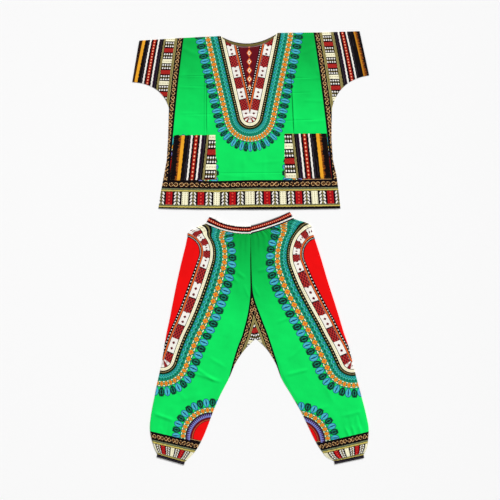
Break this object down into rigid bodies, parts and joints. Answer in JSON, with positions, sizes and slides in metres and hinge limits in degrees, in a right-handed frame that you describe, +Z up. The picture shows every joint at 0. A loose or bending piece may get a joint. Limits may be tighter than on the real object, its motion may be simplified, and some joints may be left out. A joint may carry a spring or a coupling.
{
  "type": "dashiki trouser set",
  "caption": "Collarless pullover shirt with cut-in-one sleeves and patch pockets, laid flat above gathered trousers with elastic at waist and ankles.",
  "frame": {"origin": "on the surface the set lies on, under the middle of its bounding box", "axes": "+X to the right as the set is seen from above, +Y towards the shoulders, +Z up from the surface"},
  "size_m": [0.982, 1.7979, 0.0061],
  "materials": {
    "printed_cotton": "smooth printed plain-weave cotton with a faint sheen",
    "striped_cotton": "smooth printed plain-weave cotton, striped",
    "band_cotton": "printed plain-weave cotton, gathered over elastic",
    "facing_cotton": "printed plain-weave cotton",
    "casing_cotton": "printed plain-weave cotton, gathered over elastic"
  },
  "bodies": {
    "root": {"shirt_front": "printed_cotton", "shirt_back": "printed_cotton", "neck_facing": "facing_cotton", "pocket_left": "striped_cotton", "pocket_right": "striped_cotton", "leg_left": "printed_cotton", "leg_right": "printed_cotton", "waistband_left": "band_cotton", "waistband_right": "band_cotton", "ankle_casing_left": "casing_cotton", "ankle_casing_right": "casing_cotton"}
  },
  "joints": []
}
